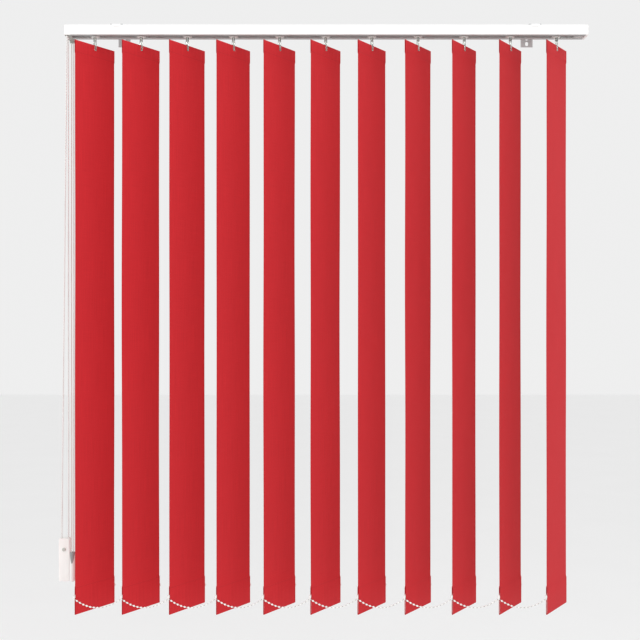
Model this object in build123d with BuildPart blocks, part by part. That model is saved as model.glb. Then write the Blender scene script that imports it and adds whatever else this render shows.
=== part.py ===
"""A vertical blind: eleven fabric louvres on geared carriers in a slim wall-hung head rail.

The frame: the origin is midway between the two bracket screw holes, on the wall.
+X runs to the right along the rail, +Y points into the wall and +Z points up.
All sizes are in millimetres.
"""

from build123d import *

import math
import os

os.makedirs("parts", exist_ok=True)

# %% Driving sizes

# The row of louvres
louvre_count = 11
louvre_pitch = 79.0
stack_pitch = 17.0
rest_angle = 55.6

# The head rail, a channel that is open below
rail_width = 30.0
rail_height = 17.5
rail_wall = 1.2
rail_slot = 12.0
rail_corner = 1.5
rail_top = 4.5
rail_to_wall = 45.0
rail_past_first = 39.0
rail_past_last = 47.0

# Running room between pieces
running_gap = 0.3
shaft_gap = 0.12
press_gap = 0.02

# The carriers and their spacer strips
carrier_gap = 2.0
carrier_side_gap = 0.5
carrier_boss_drop = 1.0
carrier_boss_length = 12.0
channel_width = 8.0
channel_depth = 4.7
strip_width = 6.0
strip_thickness = 0.3
strip_level_step = 0.6
strip_first_level = 0.4
strip_reach = 5.0
strip_ear_length = 1.8

# The tilt rod, its worms and the geared stems
rod_radius = 2.1
rod_flat = 1.5
rod_above_rail_bottom = 7.5
worm_core_radius = 3.1
worm_collar_radius = 3.9
worm_collar_length = 1.5
worm_length = 10.0
gear_tip_radius = 4.2
gear_root_radius = 3.1
gear_teeth = 10
gear_tooth_slope = 75.0
gear_height = 5.0
mesh_gap = 0.2
stem_radius = 2.5

# The hook below each stem
hook_neck_drop = 7.0
hook_square = 3.8
hook_head_height = 6.6
prong_thickness = 0.85
prong_length = 9.9
barb_radius = 1.5

# A louvre's cloth, hanger and weight
vane_width = 89.0
vane_top = -26.9
vane_height = 964.1
cloth_thickness = 0.45
pocket_cloth = 0.4
pocket_taper = 3.0
top_pocket_height = 20.0
bottom_pocket_height = 45.0
hanger_width = 80.0
hanger_height = 17.0
hanger_thickness = 1.1
hanger_hole_radius = 2.2
hanger_hole_drop = 7.1
weight_width = 86.0
weight_height = 36.0
weight_thickness = 1.4
weight_corner = 3.0
lug_reach = 3.0
lug_height = 5.0
lug_hole_radius = 0.9

# The swivel clip that holds the linking chain at a louvre's front edge
swivel_reach = 2.6
swivel_radius = 1.9
swivel_height = 3.0
clip_pin_radius = 0.65
clip_head_radius = 1.3
clip_head_height = 1.0
clip_bead_radius = 1.6
insert_gap = 0.05

# The draw cord
cord_radius = 1.0
cord_behind_stems = 10.0
cord_hole_gap = 0.5
fall_behind_rail = 10.0
fall_spacing = 3.5
fall_past_sprocket = 0.7
cord_bend = 3.0

# The return pulley at the right
pulley_pitch_radius = 4.6
pulley_radius = 6.0
pulley_width = 4.0
pulley_pin_radius = 1.5
pulley_below_top = 8.8
pulley_from_end = 8.0

# The bead chain and its sprocket
chain_radius = 1.6
chain_pitch_radius = 4.6
chain_pockets = 6
chain_pocket_radius = 1.2
sprocket_radius = 5.6
sprocket_width = 4.0
sprocket_past_rail = 6.2
chain_join_angle = 6.0
chain_bend_share = 0.45

# The control housing at the left and the return cap at the right
housing_length = 10.0
housing_wall = 1.2
housing_front_wall = 1.0
housing_behind_rail = 15.0
bearing_web = 1.0
exit_boss_drop = 3.0
exit_boss_wall = 1.5
cap_length = 4.0
cap_cheek = 2.0
cap_plug_length = 10.0
cap_cheek_length = 16.0

# The cord weight
cord_weight_radius = 5.2
cord_weight_length = 52.0
cord_weight_top = -900.0
cord_weight_bore = 3.6
cord_weight_bore_depth = 20.0
cord_weight_shoulder = 8.0

# The chain tensioner on the wall
tensioner_width = 18.7
tensioner_depth = 16.0
tensioner_height = 75.0
tensioner_left = -468.7
tensioner_top = -881.0
tensioner_wall = 1.2
tensioner_cover_depth = 4.0
tensioner_wheel_radius = 7.2
tensioner_wheel_pitch_radius = 6.0
tensioner_wheel_width = 5.0
tensioner_pin_radius = 2.0
tensioner_wheel_above_base = 16.0
tensioner_screw_below_top = 19.0
tensioner_screw_radius = 1.9
tensioner_screw_head_radius = 3.2
tensioner_screw_head = 1.6
tensioner_straight = 11.0

# The wall brackets and the spring clips that grip the rail
bracket_spacing = 712.0
bracket_width = 21.0
bracket_plate = 1.5
bracket_foot = -14.0
bracket_arm_reach = 72.0
bracket_bend = 2.5
bracket_hole_radius = 2.25
bracket_slot_width = 5.5
bracket_slot_length = 7.5
bracket_slot_drop = 8.25
clip_width = 14.0
clip_plate = 0.8
clip_tongue = 4.2
clip_tail = 6.0
tongue_bend_share = 0.7
rivet_radius = 2.0
rivet_head_radius = 3.8
rivet_head = 1.4
rivet_dome_share = 0.7

# %% Places that follow from them

rail_y = -(rail_to_wall + rail_width / 2)
rail_front = rail_y - rail_width / 2
rail_back = rail_y + rail_width / 2
rail_bottom = rail_top - rail_height
rail_middle = (rail_top + rail_bottom) / 2
first_x = -louvre_pitch * (louvre_count - 1) / 2
last_x = first_x + louvre_pitch * (louvre_count - 1)
rail_start = first_x - rail_past_first
rail_end = last_x + rail_past_last
inner_floor = rail_bottom + rail_wall
inner_roof = rail_top - rail_wall

carrier_length = stack_pitch - carrier_gap
carrier_width = rail_width - 2 * rail_wall - 2 * carrier_side_gap
carrier_bottom = inner_floor + running_gap
carrier_top = inner_roof - carrier_side_gap
boss_bottom = rail_bottom - carrier_boss_drop
channel_floor = carrier_top - channel_depth

rod_y = rail_y - gear_tip_radius - worm_core_radius - mesh_gap
rod_z = rail_bottom + rod_above_rail_bottom
gear_bottom = rod_z - gear_height / 2
gear_floor = gear_bottom - running_gap
stem_top = channel_floor - running_gap
hook_shoulder = rail_bottom - hook_neck_drop
fork_top = hook_shoulder - hook_head_height

vane_bottom = vane_top - vane_height
top_pocket = hanger_thickness + 2 * insert_gap + 2 * pocket_cloth
bottom_pocket = weight_thickness + 2 * insert_gap + 2 * pocket_cloth
hanger_hole_z = vane_top - hanger_hole_drop
barb_z = hanger_hole_z + hanger_hole_radius - barb_radius - running_gap
prong_inside = hook_square / 2 - prong_thickness
weight_bottom = vane_bottom + pocket_cloth + insert_gap
weight_top = weight_bottom + weight_height
lug_z = weight_top - weight_corner - lug_height / 2
swivel_u = -(vane_width / 2 + swivel_reach)

cord_y = rail_y + cord_behind_stems
pulley_z = rail_top - pulley_below_top
cord_upper_z = pulley_z + pulley_pitch_radius
cord_lower_z = pulley_z - pulley_pitch_radius
pulley_x = rail_end - pulley_from_end
fall_y = rail_back + fall_behind_rail

housing_start = rail_start - housing_length
housing_back = rail_back + housing_behind_rail
sprocket_x = rail_start - sprocket_past_rail
fall_x = sprocket_x + fall_past_sprocket
fall_left = fall_x - fall_spacing / 2
fall_right = fall_x + fall_spacing / 2
exit_z = rail_bottom - exit_boss_drop

tensioner_x = tensioner_left + tensioner_width / 2
tensioner_bottom = tensioner_top - tensioner_height
tensioner_wheel_y = -tensioner_depth / 2
tensioner_wheel_z = tensioner_bottom + tensioner_wheel_above_base
tensioner_seam = -(tensioner_depth - tensioner_cover_depth)
tensioner_screw_z = tensioner_top - tensioner_screw_below_top

clip_top = rail_top + clip_plate
arm_top = clip_top + bracket_plate


# %% Helpers


def save(piece, label):
    """Names a finished piece and writes it as one STEP file."""
    piece.label = label
    export_step(piece, f"parts/{label}.step")


def bend_radii(points):
    """The arc radius for each inner corner of a cord's route.

    The arc takes chain_bend_share of the shorter of the two runs that meet there.
    """
    radii = []
    for before, corner, after in zip(points, points[1:], points[2:]):
        run_in = Vector(*corner) - Vector(*before)
        run_out = Vector(*after) - Vector(*corner)
        half_turn = math.radians(run_in.get_angle(run_out)) / 2
        radii.append(chain_bend_share * min(run_in.length, run_out.length) / math.tan(half_turn))
    return radii


def rod_profile(clearance=0.0):
    """The tilt rod's D section, grown by a clearance, at the current sketch's origin."""
    with BuildSketch(mode=Mode.PRIVATE) as section:
        Circle(rod_radius + clearance)
        with Locations((0, rod_flat + clearance + rod_radius)):
            Rectangle(4 * rod_radius, 2 * rod_radius, mode=Mode.SUBTRACT)
    return section.sketch


# %% Head rail: one drawn aluminium channel with a slot along its underside

with BuildPart() as head_rail:
    with BuildSketch(Plane.YZ.offset(rail_start)):
        with Locations((rail_y, rail_middle)):
            RectangleRounded(rail_width, rail_height, rail_corner)
            Rectangle(rail_width - 2 * rail_wall, rail_height - 2 * rail_wall, mode=Mode.SUBTRACT)
        with Locations((rail_y, rail_bottom)):
            Rectangle(rail_slot, 4 * rail_wall, mode=Mode.SUBTRACT)
    extrude(amount=rail_end - rail_start)
save(head_rail.part, "head_rail")

# %% Control housing: the moulding that closes the rail's left end and lets chain and cords out

with BuildPart() as control_housing:
    with BuildSketch(Plane.YZ.offset(housing_start)):
        with Locations(((rail_front + housing_back) / 2, rail_middle)):
            RectangleRounded(housing_back - rail_front, rail_height, rail_corner)
    extrude(amount=housing_length)
    # The chamber in line with the rail is open towards it.
    with BuildSketch(Plane.YZ.offset(housing_start + housing_wall)):
        with Locations(((rail_front + housing_front_wall + rail_back - housing_wall) / 2, rail_middle)):
            Rectangle(
                rail_width - housing_front_wall - housing_wall,
                rail_height - 2 * housing_wall,
            )
    extrude(amount=housing_length - housing_wall, mode=Mode.SUBTRACT)
    # The chamber behind the rail turns the draw cords down.
    with BuildSketch(Plane.YZ.offset(housing_start + housing_wall)):
        with Locations(((rail_back - 2 * housing_wall + housing_back) / 2 - housing_wall / 2, rail_middle)):
            Rectangle(
                housing_behind_rail + housing_wall,
                rail_height - 2 * housing_wall,
            )
    extrude(amount=housing_length - 2 * housing_wall, mode=Mode.SUBTRACT)
    # The web beside the sprocket carries the rod.
    with BuildSketch(Plane.YZ.offset(sprocket_x + sprocket_width / 2 + 2 * running_gap)):
        with Locations(((rail_front + housing_front_wall + rail_y) / 2, rail_middle)):
            Rectangle(
                rail_y - rail_front - housing_front_wall,
                rail_height - 2 * housing_wall,
            )
        with Locations((rod_y, rod_z)):
            Circle(rod_radius + shaft_gap, mode=Mode.SUBTRACT)
    extrude(amount=bearing_web)
    # The chain's slot, and the collar that guides the two cord falls.
    with BuildSketch(Plane.XY.offset(rail_bottom)):
        with Locations((sprocket_x, rod_y)):
            SlotOverall(
                2 * (chain_pitch_radius + chain_radius + running_gap),
                2 * (chain_radius + running_gap),
                rotation=90,
            )
    extrude(amount=housing_wall, mode=Mode.SUBTRACT)
    with BuildSketch(Plane.XY.offset(exit_z)):
        with Locations((fall_x, fall_y)):
            SlotOverall(
                fall_spacing + 2 * (cord_radius + cord_hole_gap + exit_boss_wall),
                2 * (cord_radius + cord_hole_gap + exit_boss_wall),
            )
    extrude(amount=exit_boss_drop)
    with BuildSketch(Plane.XY.offset(exit_z)):
        with Locations((fall_x, fall_y)):
            SlotOverall(
                fall_spacing + 2 * (cord_radius + cord_hole_gap),
                2 * (cord_radius + cord_hole_gap),
            )
    extrude(amount=exit_boss_drop + housing_wall, mode=Mode.SUBTRACT)
save(control_housing.part, "control_housing")

# %% Return end cap: closes the right end, carries the rod's end and the pulley's pin

with BuildPart() as return_end_cap:
    with BuildSketch(Plane.YZ.offset(rail_end)):
        with Locations((rail_y, rail_middle)):
            RectangleRounded(rail_width, rail_height, rail_corner)
    extrude(amount=cap_length)
    plug_front = rail_front + rail_wall + running_gap
    plug_back = rail_y - rail_slot / 2 + rail_wall
    plug_height = rail_height - 2 * rail_wall - 2 * running_gap
    with BuildSketch(Plane.YZ.offset(rail_end)):
        with Locations(((plug_front + plug_back) / 2, rail_middle)):
            Rectangle(plug_back - plug_front, plug_height)
    extrude(amount=-cap_plug_length)
    with BuildSketch(Plane.YZ.offset(rail_end)):
        with Locations((rod_y, rod_z)):
            Circle(rod_radius + shaft_gap)
    extrude(amount=-cap_plug_length, mode=Mode.SUBTRACT)
    cheek_back = cord_y - pulley_width / 2 - running_gap
    with BuildSketch(Plane.YZ.offset(rail_end)):
        with Locations((cheek_back - cap_cheek / 2, rail_middle)):
            Rectangle(cap_cheek, plug_height)
    extrude(amount=-cap_cheek_length)
    with BuildSketch(Plane.XZ.offset(-cheek_back)):
        with Locations((pulley_x, pulley_z)):
            Circle(pulley_pin_radius)
    extrude(amount=-(pulley_width + 3 * running_gap))
    fillet(return_end_cap.faces().sort_by(Axis.X)[-1].edges(), rail_corner / 2)
save(return_end_cap.part, "return_end_cap")


# %% Grooved wheels: the return pulley, the chain sprocket and the tensioner's wheel

def grooved_profile(radius, groove_radius, width, bore, rope_radius):
    """A half section of a grooved wheel: X along the axle, Y outwards."""
    with BuildSketch(mode=Mode.PRIVATE) as section:
        with Locations((0, (radius + bore) / 2)):
            Rectangle(width, radius - bore)
        with Locations((0, groove_radius)):
            Circle(rope_radius, mode=Mode.SUBTRACT)
        with Locations((0, (groove_radius + radius) / 2 + rope_radius / 2)):
            Rectangle(2 * rope_radius, radius - groove_radius + rope_radius, mode=Mode.SUBTRACT)
    return section.sketch


with BuildPart() as return_pulley:
    with BuildSketch(Plane((pulley_x, cord_y, pulley_z), x_dir=(0, 1, 0), z_dir=(1, 0, 0))):
        add(
            grooved_profile(
                pulley_radius,
                pulley_pitch_radius,
                pulley_width,
                pulley_pin_radius + shaft_gap,
                cord_radius + shaft_gap,
            )
        )
    revolve(axis=Axis((pulley_x, cord_y, pulley_z), (0, 1, 0)))
save(return_pulley.part, "return_pulley")

with BuildPart() as chain_sprocket:
    with BuildSketch(Plane((sprocket_x, rod_y, rod_z), x_dir=(1, 0, 0), z_dir=(0, -1, 0))):
        add(
            grooved_profile(
                sprocket_radius,
                chain_pitch_radius,
                sprocket_width,
                rod_radius / 2,
                chain_radius + shaft_gap,
            )
        )
    revolve(axis=Axis((sprocket_x, rod_y, rod_z), (1, 0, 0)))
    with BuildSketch(Plane.YZ.offset(sprocket_x - sprocket_width)):
        with Locations((rod_y, rod_z)):
            with PolarLocations(sprocket_radius, chain_pockets):
                Circle(chain_pocket_radius)
    extrude(amount=2 * sprocket_width, mode=Mode.SUBTRACT)
    with BuildSketch(Plane.YZ.offset(sprocket_x - sprocket_width)):
        with Locations((rod_y, rod_z)):
            add(rod_profile())
    extrude(amount=2 * sprocket_width, mode=Mode.SUBTRACT)
save(chain_sprocket.part, "chain_sprocket")

with BuildPart() as tensioner_wheel:
    wheel_centre = (tensioner_x, tensioner_wheel_y, tensioner_wheel_z)
    with BuildSketch(Plane(wheel_centre, x_dir=(0, 1, 0), z_dir=(1, 0, 0))):
        add(
            grooved_profile(
                tensioner_wheel_radius,
                tensioner_wheel_pitch_radius,
                tensioner_wheel_width,
                tensioner_pin_radius + shaft_gap,
                chain_radius + shaft_gap,
            )
        )
    revolve(axis=Axis(wheel_centre, (0, 1, 0)))
save(tensioner_wheel.part, "tensioner_wheel")

# %% Tilt rod: a D-section rod from the sprocket to the return cap

with BuildPart() as tilt_rod:
    with BuildSketch(Plane.YZ.offset(housing_start + housing_wall + running_gap)):
        with Locations((rod_y, rod_z)):
            add(rod_profile())
    extrude(amount=rail_end - housing_start - housing_wall - 2 * running_gap)
save(tilt_rod.part, "tilt_rod")

# %% Carriers: gliders that straddle the slot, each with the spacer strip that sets the pitch

strip_levels = math.ceil((louvre_pitch + strip_reach + carrier_length / 2) / stack_pitch)


def carrier(strip_level):
    """A carrier at the origin of X, with its strip on the given level, or with none."""
    with BuildPart(mode=Mode.PRIVATE) as glider:
        with BuildSketch(Plane.XY.offset(carrier_bottom)):
            with Locations((0, rail_y)):
                RectangleRounded(carrier_length, carrier_width, rail_corner)
        extrude(amount=carrier_top - carrier_bottom)
        with BuildSketch(Plane.XY.offset(boss_bottom)):
            with Locations((0, rail_y)):
                SlotOverall(carrier_boss_length, rail_slot - 2 * carrier_side_gap)
        extrude(amount=carrier_bottom - boss_bottom)
        # The channel that all the strips pass along
        with BuildSketch(Plane.XY.offset(channel_floor)):
            with Locations((0, rail_y)):
                Rectangle(2 * carrier_length, channel_width)
        extrude(amount=channel_depth, mode=Mode.SUBTRACT)
        # The seat of the stem's gear, and the hole for the stem
        with BuildSketch(Plane.XY.offset(gear_floor)):
            with Locations((0, rail_y)):
                Circle(gear_tip_radius + 2 * running_gap)
        extrude(amount=channel_floor - gear_floor, mode=Mode.SUBTRACT)
        with BuildSketch(Plane.XY.offset(boss_bottom)):
            with Locations((0, rail_y)):
                Circle(stem_radius + running_gap)
        extrude(amount=gear_floor - boss_bottom, mode=Mode.SUBTRACT)
        # The worm's seat is open above, so that the worm drops in before the rod is pushed through.
        seat = worm_length + 2 * running_gap
        seat_radius = worm_collar_radius + running_gap
        with BuildSketch(Plane.YZ.offset(-seat / 2)):
            with Locations((rod_y, rod_z)):
                Circle(seat_radius)
            with Locations((rod_y, (rod_z + carrier_top) / 2)):
                Rectangle(2 * seat_radius, carrier_top - rod_z)
        extrude(amount=seat, mode=Mode.SUBTRACT)
        with BuildSketch(Plane.YZ.offset(-carrier_length)):
            with Locations((rod_y, rod_z)):
                Circle(rod_radius + running_gap)
            with Locations((cord_y, cord_upper_z), (cord_y, cord_lower_z)):
                Circle(cord_radius + cord_hole_gap)
        extrude(amount=2 * carrier_length, mode=Mode.SUBTRACT)
        if strip_level is not None:
            strip_z = channel_floor + strip_first_level + strip_level * strip_level_step
            with BuildSketch(Plane.XY.offset(strip_z)):
                strip_start = -carrier_length / 2 + running_gap
                strip_end = louvre_pitch + strip_reach
                with Locations(((strip_start + strip_end) / 2, rail_y)):
                    Rectangle(strip_end - strip_start, strip_width)
                with Locations((strip_start + strip_ear_length / 2, rail_y)):
                    Rectangle(strip_ear_length, channel_width - 2 * press_gap)
            extrude(amount=strip_thickness)
    return glider.part


for index in range(louvre_count):
    is_lead = index == louvre_count - 1
    with BuildPart() as placed_carrier:
        with Locations((first_x + index * louvre_pitch, 0, 0)):
            add(carrier(None if is_lead else index % strip_levels))
    save(placed_carrier.part, f"carrier_{index + 1:02d}")

# %% Worms: each slides along the rod with its carrier and turns with the rod

with BuildPart() as worm:
    with BuildSketch(Plane.YZ.offset(-worm_length / 2)):
        with Locations((rod_y, rod_z)):
            Circle(worm_core_radius)
    extrude(amount=worm_length)
    for collar_start in (-worm_length / 2, worm_length / 2 - worm_collar_length):
        with BuildSketch(Plane.YZ.offset(collar_start)):
            with Locations((rod_y, rod_z)):
                Circle(worm_collar_radius)
        extrude(amount=worm_collar_length)
    with BuildSketch(Plane.YZ.offset(-worm_length)):
        with Locations((rod_y, rod_z)):
            add(rod_profile(shaft_gap))
    extrude(amount=2 * worm_length, mode=Mode.SUBTRACT)

for index in range(louvre_count):
    with BuildPart() as placed_worm:
        with Locations((first_x + index * louvre_pitch, 0, 0)):
            add(worm.part)
    save(placed_worm.part, f"worm_{index + 1:02d}")

# %% Hooks: a geared stem with a forked clip that grips the louvre's hanger.
# Each is drawn at the origin: X along the louvre's width, Y through it.

with BuildPart() as hook:
    with BuildSketch(Plane.XY.offset(hook_shoulder)):
        Circle(stem_radius)
    extrude(amount=stem_top - hook_shoulder)
    with BuildSketch(Plane.XY.offset(gear_bottom)):
        Circle(gear_root_radius)
        tooth_height = gear_tip_radius - gear_root_radius
        with PolarLocations(gear_root_radius + tooth_height / 2 - press_gap, gear_teeth):
            Trapezoid(tooth_height, tooth_height, gear_tooth_slope, rotation=-90)
    extrude(amount=gear_height)
    with BuildSketch(Plane.XY.offset(fork_top)):
        Rectangle(hook_square, hook_square)
    extrude(amount=hook_head_height)
    with BuildSketch(Plane.XY.offset(fork_top - prong_length)):
        for side in (-1, 1):
            with Locations((0, side * (prong_inside + prong_thickness / 2))):
                Rectangle(hook_square, prong_thickness)
    extrude(amount=prong_length)
    for side in (-1, 1):
        with BuildSketch(Plane.XZ.offset(-side * insert_gap)):
            with Locations((0, barb_z)):
                Circle(barb_radius)
        extrude(amount=-side * (prong_inside - insert_gap))
    fillet(hook.edges().filter_by(Axis.Y).group_by(Axis.Z)[0], prong_thickness / 2)

# %% Louvres: folded cloth with a hanger in its top hem and a weight in its bottom pocket


with BuildPart() as louvre:
    with BuildSketch(Plane.YZ.offset(-vane_width / 2)):
        body_height = vane_height - top_pocket_height - bottom_pocket_height
        with Locations((0, vane_top - top_pocket_height - body_height / 2)):
            Rectangle(cloth_thickness, body_height)
        hems = (
            (vane_top, -1, top_pocket_height, top_pocket),
            (vane_bottom, 1, bottom_pocket_height, bottom_pocket),
        )
        for edge, inward, height, thickness in hems:
            with Locations((0, edge + inward * height / 2)):
                Rectangle(thickness, height)
            mouth = edge + inward * height
            with BuildLine():
                Polyline(
                    (-thickness / 2, mouth),
                    (thickness / 2, mouth),
                    (cloth_thickness / 2, mouth + inward * pocket_taper),
                    (-cloth_thickness / 2, mouth + inward * pocket_taper),
                    close=True,
                )
            make_face()
        with Locations((0, vane_top - top_pocket_height / 2)):
            Rectangle(
                top_pocket - 2 * pocket_cloth,
                top_pocket_height - 2 * pocket_cloth,
                mode=Mode.SUBTRACT,
            )
        with Locations((0, vane_bottom + bottom_pocket_height / 2)):
            Rectangle(
                bottom_pocket - 2 * pocket_cloth,
                bottom_pocket_height - 2 * pocket_cloth,
                mode=Mode.SUBTRACT,
            )
    extrude(amount=vane_width)
    # The hanger
    with BuildSketch(Plane.XZ.offset(-hanger_thickness / 2)):
        with Locations((0, vane_top - pocket_cloth - insert_gap - hanger_height / 2)):
            RectangleRounded(hanger_width, hanger_height, rail_corner)
    extrude(amount=hanger_thickness)
    with BuildSketch(Plane.XZ.offset(-top_pocket)):
        with Locations((0, hanger_hole_z)):
            Circle(hanger_hole_radius)
    extrude(amount=2 * top_pocket, mode=Mode.SUBTRACT)
    # The weight, with a swivel boss at its front edge and a plain lug at its rear edge
    with BuildSketch(Plane.XZ.offset(-weight_thickness / 2)):
        with Locations((0, (weight_top + weight_bottom) / 2)):
            RectangleRounded(weight_width, weight_height, weight_corner)
        lug_end = vane_width / 2 + lug_reach
        with Locations(((lug_end + swivel_u) / 2, lug_z)):
            RectangleRounded(lug_end - swivel_u, lug_height, lug_height / 2 - press_gap)
        with Locations((lug_end - lug_reach / 2, lug_z)):
            Circle(lug_hole_radius, mode=Mode.SUBTRACT)
    extrude(amount=weight_thickness)
    with BuildSketch(Plane.XY.offset(lug_z - swivel_height / 2)):
        with Locations((swivel_u, 0)):
            Circle(swivel_radius)
    extrude(amount=swivel_height)
    # The lug is cut away above and below the boss, so that the clip turns freely.
    with BuildSketch(Plane.XY.offset(lug_z - lug_height)):
        with Locations((swivel_u, 0)):
            Circle(clip_pin_radius + shaft_gap)
    extrude(amount=2 * lug_height, mode=Mode.SUBTRACT)
    for low, high in ((-lug_height, -swivel_height / 2), (swivel_height / 2, lug_height)):
        with BuildSketch(Plane.XY.offset(lug_z + low)):
            with Locations((swivel_u, 0)):
                Circle(swivel_radius)
        extrude(amount=high - low, mode=Mode.SUBTRACT)

# The hook and the louvre that hangs on it share one node, as four solids.
for index in range(louvre_count):
    pivot = Location((first_x + index * louvre_pitch, rail_y, 0), (0, 0, rest_angle))
    with BuildPart() as placed_louvre:
        with Locations(pivot):
            add(hook.part)
            add(louvre.part)
    save(placed_louvre.part, f"louvre_{index + 1:02d}")

# %% Chain clips: a pin that swivels in the weight's boss, with a bead that the linking chain hangs from

with BuildPart() as chain_clip:
    head_z = lug_z + swivel_height / 2 + running_gap
    bead_z = lug_z - swivel_height / 2 - running_gap - clip_bead_radius
    with BuildSketch(Plane.XY.offset(head_z)):
        with Locations((swivel_u, 0)):
            Circle(clip_head_radius)
    extrude(amount=clip_head_height)
    with BuildSketch(Plane.XY.offset(bead_z)):
        with Locations((swivel_u, 0)):
            Circle(clip_pin_radius)
    extrude(amount=head_z - bead_z)
    with Locations((swivel_u, 0, bead_z)):
        Sphere(clip_bead_radius)

for index in range(louvre_count):
    pivot = Location((first_x + index * louvre_pitch, rail_y, 0), (0, 0, rest_angle))
    with BuildPart() as placed_clip:
        with Locations(pivot):
            add(chain_clip.part)
    save(placed_clip.part, f"chain_clip_{index + 1:02d}")

# %% Draw cord: out of the collar, along the rail, round the pulley and back

cord_left_route = [
    (fall_left, fall_y, exit_z),
    (fall_left, fall_y, cord_lower_z),
    (fall_left, cord_y, cord_lower_z),
    (pulley_x, cord_y, cord_lower_z),
]
cord_right_route = [
    (pulley_x, cord_y, cord_upper_z),
    (fall_right, cord_y, cord_upper_z),
    (fall_right, fall_y, cord_upper_z),
    (fall_right, fall_y, exit_z),
]
with BuildPart() as draw_cord_run:
    with BuildLine() as cord_path:
        FilletPolyline(*cord_left_route, radius=cord_bend)
        ThreePointArc(
            cord_left_route[-1],
            (pulley_x + pulley_pitch_radius, cord_y, pulley_z),
            cord_right_route[0],
        )
        FilletPolyline(*cord_right_route, radius=cord_bend)
    with BuildSketch(Plane(cord_path.line @ 0, z_dir=cord_path.line % 0)):
        Circle(cord_radius)
    sweep()
save(draw_cord_run.part, "draw_cord_run")

# %% The cord's two falls hang straight from the collar into the cord weight

weight_bore_floor = cord_weight_top - cord_weight_bore_depth
with BuildPart() as draw_cord_falls:
    with BuildSketch(Plane.XY.offset(weight_bore_floor)):
        with Locations((fall_left, fall_y), (fall_right, fall_y)):
            Circle(cord_radius)
    extrude(amount=exit_z - weight_bore_floor)
save(draw_cord_falls.part, "draw_cord_falls")

with BuildPart() as cord_weight:
    with BuildSketch(Plane((fall_x, fall_y, 0), x_dir=(1, 0, 0), z_dir=(0, -1, 0))):
        with BuildLine():
            low_z = cord_weight_top - cord_weight_length
            nose_z = low_z + cord_weight_radius
            shoulder_z = cord_weight_top - cord_weight_shoulder
            rim = cord_weight_bore + (cord_weight_radius - cord_weight_bore) / 2
            Polyline(
                (0, low_z),
                (0, weight_bore_floor),
                (cord_weight_bore, weight_bore_floor),
                (cord_weight_bore, cord_weight_top),
                (rim, cord_weight_top),
            )
            Spline(
                (rim, cord_weight_top),
                (cord_weight_radius, shoulder_z),
                tangents=[(1, -2), (0, -1)],
            )
            Line((cord_weight_radius, shoulder_z), (cord_weight_radius, nose_z))
            RadiusArc((cord_weight_radius, nose_z), (0, low_z), cord_weight_radius)
        make_face()
    revolve(axis=Axis((fall_x, fall_y, 0), (0, 0, 1)))
save(cord_weight.part, "cord_weight")

# %% Bead chain: over the sprocket, down to the tensioner, round its wheel and back up

join = math.radians(chain_join_angle)
join_y = chain_pitch_radius * math.sin(join)
join_z = chain_pitch_radius * math.cos(join)
eighth = chain_pitch_radius * math.sqrt(0.5)
wheel_left = tensioner_x - tensioner_wheel_pitch_radius
wheel_right = tensioner_x + tensioner_wheel_pitch_radius
chain_front_y = rod_y - chain_pitch_radius
chain_rear_y = rod_y + chain_pitch_radius
straight_z = tensioner_top + tensioner_straight
leave_z = rail_bottom - housing_wall
chain_front_route = [
    (sprocket_x, chain_front_y, rod_z),
    (sprocket_x, chain_front_y, leave_z),
    (wheel_left, tensioner_wheel_y, straight_z),
    (wheel_left, tensioner_wheel_y, tensioner_wheel_z),
]
chain_rear_route = [
    (wheel_right, tensioner_wheel_y, tensioner_wheel_z),
    (wheel_right, tensioner_wheel_y, straight_z),
    (sprocket_x, chain_rear_y, leave_z),
    (sprocket_x, chain_rear_y, rod_z),
]
with BuildPart() as tilt_chain:
    with BuildLine() as chain_path:
        ThreePointArc(
            (sprocket_x, rod_y - join_y, rod_z + join_z),
            (sprocket_x, rod_y - eighth, rod_z + eighth),
            chain_front_route[0],
        )
        FilletPolyline(*chain_front_route, radius=bend_radii(chain_front_route))
        ThreePointArc(
            chain_front_route[-1],
            (tensioner_x, tensioner_wheel_y, tensioner_wheel_z - tensioner_wheel_pitch_radius),
            chain_rear_route[0],
        )
        FilletPolyline(*chain_rear_route, radius=bend_radii(chain_rear_route))
        ThreePointArc(
            chain_rear_route[-1],
            (sprocket_x, rod_y + eighth, rod_z + eighth),
            (sprocket_x, rod_y + join_y, rod_z + join_z),
        )
    with BuildSketch(Plane(chain_path.line @ 0, z_dir=chain_path.line % 0)):
        Circle(chain_radius)
    sweep()
save(tilt_chain.part, "tilt_chain")

# %% Chain tensioner: a wall box with the wheel on a pin, and its front cover

with BuildPart() as tensioner_housing:
    with BuildSketch(Plane.XZ):
        with Locations((tensioner_x, (tensioner_top + tensioner_bottom) / 2)):
            RectangleRounded(tensioner_width, tensioner_height, rail_corner)
    extrude(amount=-tensioner_seam)
    with BuildSketch(Plane.XZ.offset(tensioner_wall)):
        with Locations((tensioner_x, (tensioner_top + tensioner_bottom) / 2)):
            Rectangle(tensioner_width - 2 * tensioner_wall, tensioner_height - 2 * tensioner_wall)
    extrude(amount=tensioner_depth, mode=Mode.SUBTRACT)
    # The chain comes in through two slots in the top, which run on into the cover.
    with BuildSketch(Plane.XY.offset(tensioner_top)):
        with Locations((wheel_left, tensioner_wheel_y), (wheel_right, tensioner_wheel_y)):
            Circle(chain_radius + 2 * running_gap)
    extrude(amount=-2 * tensioner_wall, mode=Mode.SUBTRACT)
    # The wheel's pin and the screw's pillar
    with BuildSketch(Plane.XZ):
        with Locations((tensioner_x, tensioner_wheel_z)):
            Circle(tensioner_pin_radius)
        with Locations((tensioner_x, tensioner_screw_z)):
            Circle(tensioner_screw_head_radius + running_gap)
    extrude(amount=-tensioner_seam)
    with BuildSketch(Plane.XZ):
        with Locations((tensioner_x, tensioner_screw_z)):
            Circle(tensioner_screw_radius + shaft_gap)
    extrude(amount=-tensioner_seam, mode=Mode.SUBTRACT)
save(tensioner_housing.part, "tensioner_housing")

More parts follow.
